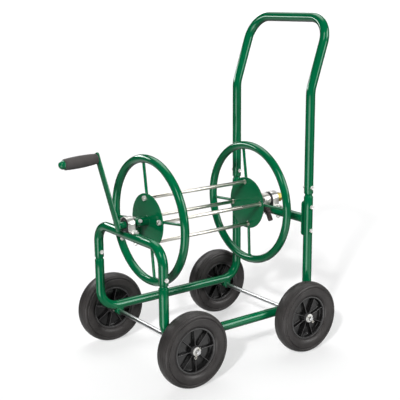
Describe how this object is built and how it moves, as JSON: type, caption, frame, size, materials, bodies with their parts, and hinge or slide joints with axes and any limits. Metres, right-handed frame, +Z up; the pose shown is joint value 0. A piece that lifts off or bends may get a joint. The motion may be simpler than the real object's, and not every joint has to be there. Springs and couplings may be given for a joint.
{
  "type": "garden hose reel cart",
  "caption": "Rolling garden hose reel cart: bent steel tube frame with push handle, crank-turned open reel between spoked rings, water swivel and solid rubber wheels.",
  "frame": {"origin": "on the floor under the middle of the cart", "axes": "+Z up; X along the reel axis, crank end towards -X and push handle end towards +X; Y across"},
  "size_m": [0.7132, 0.457, 0.9247],
  "materials": {
    "green_paint": "gloss dark green paint",
    "zinc": "bright zinc plating",
    "tyre_rubber": "matte solid rubber",
    "rim_plastic": "satin moulded plastic",
    "black_plastic": "satin moulded plastic",
    "grip_foam": "matte soft grip",
    "brass": "turned brass",
    "plated_brass": "nickel-plated brass",
    "seal_rubber": "moulded seal"
  },
  "bodies": {
    "frame": {"axle_blocks": "green_paint", "axle_spacers": "zinc", "axle_washers": "zinc", "base_tube_left": "green_paint", "base_tube_right": "green_paint", "crossbar_bolts": "zinc", "crossbar_end_plates": "green_paint", "crossbar_nuts": "zinc", "front_axle": "zinc", "front_bearing_bush": "black_plastic", "front_hoop": "green_paint", "front_saddle_clamp": "zinc", "handle_bolts": "zinc", "handle_nuts": "zinc", "hoop_bolts": "zinc", "hoop_nuts": "zinc", "push_handle": "green_paint", "rear_axle": "zinc", "rear_bearing_bush": "black_plastic", "rear_crossbar": "green_paint", "rear_saddle_clamp": "zinc", "saddle_bolts": "zinc", "saddle_nuts": "zinc", "split_pins": "zinc"},
    "reel": {"reel_ring_front": "green_paint", "reel_ring_rear": "green_paint", "spokes_front": "green_paint", "spokes_rear": "green_paint", "disc_front": "green_paint", "disc_rear": "green_paint", "tie_rods": "zinc", "tie_rod_washers": "zinc", "tie_rod_nuts_front": "zinc", "tie_rod_nuts_rear": "zinc", "hub_sleeve_front": "green_paint", "hub_sleeve_rear": "green_paint", "hub_bolts": "zinc", "hub_nuts": "zinc", "crank_shaft": "green_paint", "crank_arm": "green_paint", "grip_spindle": "green_paint", "spindle_cap": "green_paint", "water_axle": "plated_brass", "outlet_union": "black_plastic", "outlet_nipple": "black_plastic", "inlet_seal": "seal_rubber"},
    "grip": {"grip_sleeve": "grip_foam"},
    "inlet": {"inlet_swivel": "brass"},
    "wheel_front_left": {"tyre_front_left": "tyre_rubber", "rim_front_left": "rim_plastic"},
    "wheel_front_right": {"tyre_front_right": "tyre_rubber", "rim_front_right": "rim_plastic"},
    "wheel_rear_left": {"tyre_rear_left": "tyre_rubber", "rim_rear_left": "rim_plastic"},
    "wheel_rear_right": {"tyre_rear_right": "tyre_rubber", "rim_rear_right": "rim_plastic"}
  },
  "joints": [
    {"name": "reel_spin", "type": "hinge", "parent": "frame", "child": "reel", "pos_m": [0.0409, 0, 0.395], "axis": [1, 0, 0], "continuous": true},
    {"name": "grip_spin", "type": "hinge", "parent": "reel", "child": "grip", "pos_m": [-0.29203, 0.08923, 0.5568], "axis": [0.9985, 0, 0.0541], "continuous": true},
    {"name": "inlet_spin", "type": "hinge", "parent": "reel", "child": "inlet", "pos_m": [0.3089, 0, 0.395], "axis": [1, 0, 0], "continuous": true},
    {"name": "wheel_front_left_spin", "type": "hinge", "parent": "frame", "child": "wheel_front_left", "pos_m": [-0.1525, -0.201, 0.1], "axis": [0, 1, 0], "continuous": true},
    {"name": "wheel_front_right_spin", "type": "hinge", "parent": "frame", "child": "wheel_front_right", "pos_m": [-0.1525, 0.201, 0.1], "axis": [0, 1, 0], "continuous": true},
    {"name": "wheel_rear_left_spin", "type": "hinge", "parent": "frame", "child": "wheel_rear_left", "pos_m": [0.2343, -0.201, 0.1], "axis": [0, 1, 0], "continuous": true},
    {"name": "wheel_rear_right_spin", "type": "hinge", "parent": "frame", "child": "wheel_rear_right", "pos_m": [0.2343, 0.201, 0.1], "axis": [0, 1, 0], "continuous": true}
  ]
}
